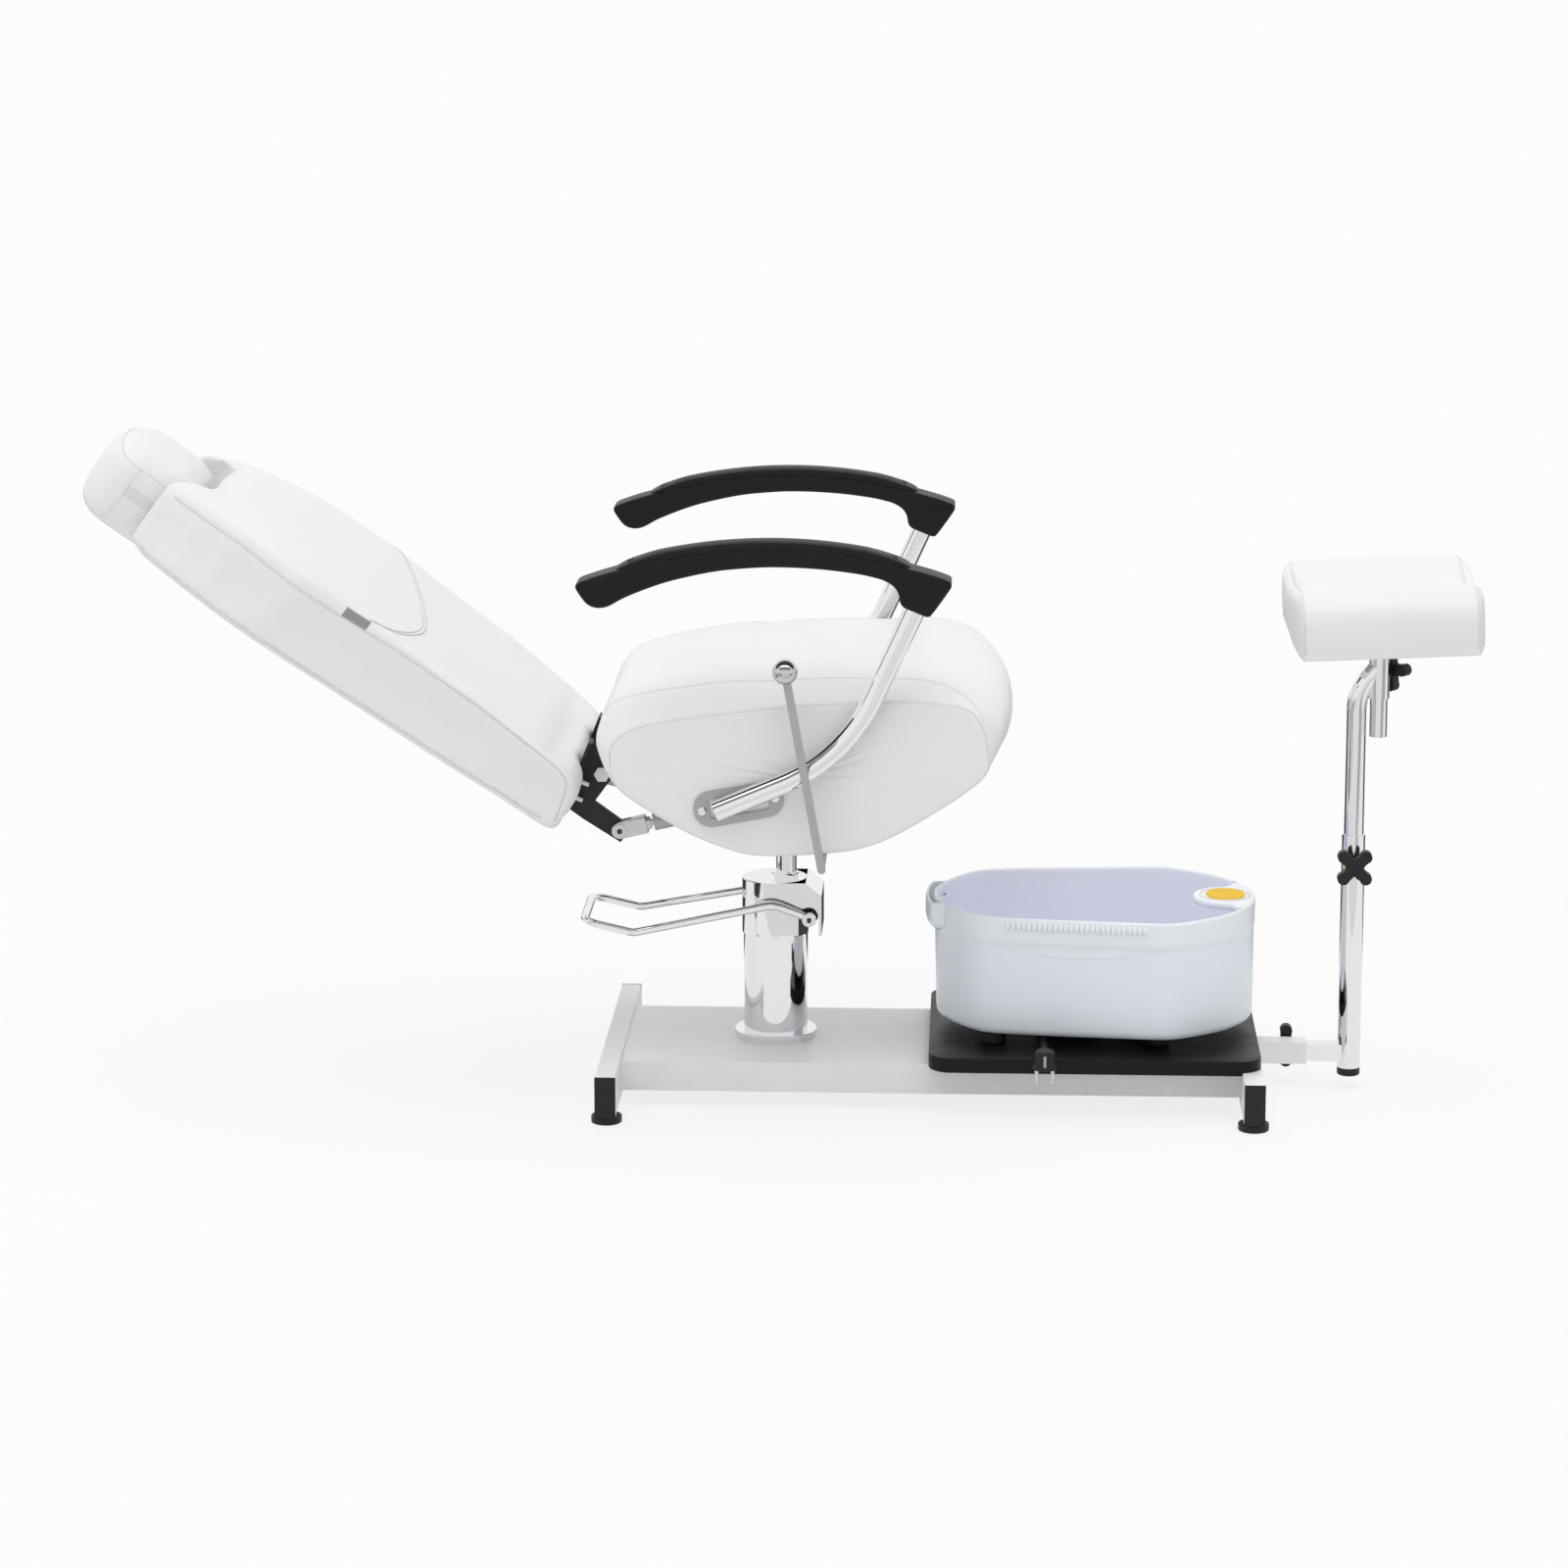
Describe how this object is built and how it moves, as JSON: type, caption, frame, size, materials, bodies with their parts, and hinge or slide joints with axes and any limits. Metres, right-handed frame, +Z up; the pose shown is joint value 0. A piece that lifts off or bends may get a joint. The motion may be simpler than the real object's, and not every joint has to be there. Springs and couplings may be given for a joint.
{
  "type": "pedicure spa chair",
  "caption": "Salon pedicure chair with a pump-raised swivelling seat, reclining back, sliding headrest, armrests, adjustable leg rest and a removable foot bath on a tray.",
  "frame": {"origin": "on the floor below the middle of the pump column, halfway along the chair", "axes": "+X from the backrest towards the leg rest, +Z up, -Y towards the side with the release lever"},
  "size_m": [1.6832, 0.6148, 0.8102],
  "materials": {
    "silver_enamel": "silver-grey powder coat, semi-gloss",
    "chrome": "polished chrome plate",
    "chrome_cover": "polished chrome plate",
    "satin_steel": "zinc plated, satin",
    "dark_steel": "black oxide",
    "black_enamel": "black powder coat, satin",
    "grey_enamel": "satin grey powder coat",
    "black_plastic": "fine matt",
    "black_rubber": "matt",
    "tray_board": "black faced board, fine matt texture",
    "plywood": "bare birch plywood",
    "white_upholstery": "white coated upholstery fabric, soft sheen",
    "headrest_upholstery": "white coated upholstery fabric, soft sheen",
    "leg_upholstery": "white coated upholstery fabric, soft sheen",
    "pad_moulding": "black moulded polyurethane, fine satin",
    "tag_fabric": "woven grey",
    "lever_knob": "silver-grey gloss",
    "bath_shell": "pale blue-white moulded plastic, soft gloss",
    "amber_plastic": "amber yellow, translucent gloss",
    "cord_rubber": "smooth matt"
  },
  "bodies": {
    "base": {"base_beam": "silver_enamel", "rear_crossbar": "silver_enamel", "front_crossbar": "silver_enamel", "crossbar_end_caps": "black_plastic", "levelling_feet": "black_plastic", "leg_sleeve": "silver_enamel", "bath_tray": "tray_board", "base_bolts": "satin_steel", "pump_flange": "chrome", "pump_cylinder": "chrome", "pump_head": "chrome", "pump_shield": "chrome_cover", "pump_block": "dark_steel", "pressure_tube": "satin_steel", "rod_wiper": "chrome"},
    "ram": {"piston_rod": "chrome"},
    "pedal": {"pedal_loop": "chrome", "pedal_shaft": "satin_steel", "pedal_bolts": "chrome"},
    "seat": {"seat_frame": "grey_enamel", "seat_board": "plywood", "seat_cushion": "white_upholstery", "seat_bolts": "satin_steel", "back_pivot_bolts": "satin_steel", "arm_plates": "grey_enamel", "arm_tube_left": "chrome", "arm_tube_right": "chrome", "arm_pad_left": "pad_moulding", "arm_pad_right": "pad_moulding", "arm_screws": "chrome"},
    "lever": {"release_lever": "grey_enamel", "lever_ball": "lever_knob"},
    "backrest": {"back_brackets": "black_enamel", "bracket_fasteners": "satin_steel", "back_board": "plywood", "back_cushion": "white_upholstery", "back_tag": "tag_fabric"},
    "gas_cylinder": {"gas_cylinder": "dark_steel"},
    "gas_rod": {"gas_rod": "satin_steel", "clevis_pin": "satin_steel"},
    "headrest": {"headrest_cushion": "headrest_upholstery", "headrest_posts": "chrome"},
    "leg_slide": {"slide_tube": "chrome", "lower_pole": "chrome", "pole_cap": "black_plastic"},
    "leg_post": {"leg_post": "chrome"},
    "stem": {"cushion_stem": "chrome"},
    "leg_pad": {"cushion_plate": "grey_enamel", "leg_cushion": "leg_upholstery"},
    "slide_knob": {"slide_knob": "black_plastic"},
    "height_knob": {"height_knob": "black_plastic"},
    "cushion_knob": {"cushion_knob": "black_plastic"},
    "bath": {"bath_tub": "bath_shell", "bath_feet": "black_rubber", "bath_control_pad": "amber_plastic", "cord_gland": "black_rubber", "cord_tube": "cord_rubber", "cord_coil": "cord_rubber", "plug_body": "cord_rubber", "plug_pins": "satin_steel"}
  },
  "joints": [
    {"name": "seat_lift", "type": "slide", "parent": "base", "child": "ram", "axis": [0, 0, 1], "range_m": [0, 0.13]},
    {"name": "seat_swivel", "type": "hinge", "parent": "ram", "child": "seat", "pos_m": [0.013, 0, 0.38], "axis": [0, 0, 1], "range_deg": [-130, 130]},
    {"name": "pump_pedal", "type": "hinge", "parent": "base", "child": "pedal", "pos_m": [0.043, 0, 0.217], "axis": [0, 1, 0], "range_deg": [-25, 6], "stiffness_Nm_per_rad": 6, "springref_deg": 8.59},
    {"name": "lever_turn", "type": "hinge", "parent": "seat", "child": "lever", "pos_m": [0.066, -0.297, 0.341], "axis": [0, 1, 0], "range_deg": [-15, 15], "stiffness_Nm_per_rad": 3},
    {"name": "back_recline", "type": "hinge", "parent": "seat", "child": "backrest", "pos_m": [-0.207, 0, 0.399], "axis": [0, 1, 0], "range_deg": [0, 45]},
    {"name": "gas_cylinder_turn", "type": "hinge", "parent": "seat", "child": "gas_cylinder", "pos_m": [0.077, -0.063, 0.39229], "axis": [0, 1, 0], "range_deg": [0, 3.2]},
    {"name": "gas_rod_extend", "type": "slide", "parent": "gas_cylinder", "child": "gas_rod", "axis": [-0.9728, 0, -0.2317], "range_m": [0, 0.0545]},
    {"name": "headrest_slide", "type": "slide", "parent": "backrest", "child": "headrest", "axis": [-0.809, 0, 0.5878], "range_m": [-0.012, 0.06]},
    {"name": "leg_rest_reach", "type": "slide", "parent": "base", "child": "leg_slide", "axis": [1, 0, 0], "range_m": [-0.035, 0.15]},
    {"name": "slide_knob_turn", "type": "hinge", "parent": "base", "child": "slide_knob", "pos_m": [0.629, 0.025, 0.0442], "axis": [0, 1, 0], "range_deg": [-180, 180]},
    {"name": "leg_rest_height", "type": "slide", "parent": "leg_slide", "child": "leg_post", "axis": [0, 0, 1], "range_m": [-0.1, 0.12]},
    {"name": "height_knob_turn", "type": "hinge", "parent": "leg_slide", "child": "height_knob", "pos_m": [0.7045, -0.025, 0.282], "axis": [0, -1, 0], "range_deg": [-180, 180]},
    {"name": "leg_cushion_height", "type": "slide", "parent": "leg_post", "child": "stem", "axis": [0, 0, 1], "range_m": [0, 0.06]},
    {"name": "leg_cushion_swivel", "type": "hinge", "parent": "stem", "child": "leg_pad", "pos_m": [0.731, 0, 0.55], "axis": [0, 0, 1], "range_deg": [-90, 90]},
    {"name": "cushion_knob_turn", "type": "hinge", "parent": "leg_post", "child": "cushion_knob", "pos_m": [0.74386, 0.01532, 0.519], "axis": [0.6428, 0.766, 0], "range_deg": [-180, 180]},
    {"name": "bath_remove", "type": "slide", "parent": "base", "child": "bath", "axis": [0, -1, 0], "range_m": [0, 0.4]}
  ],
  "couplings": [
    {"joint": "gas_cylinder_turn", "follows": "back_recline", "ratio": 0.058},
    {"joint": "gas_rod_extend", "follows": "back_recline", "m_per_rad": 0.069}
  ]
}
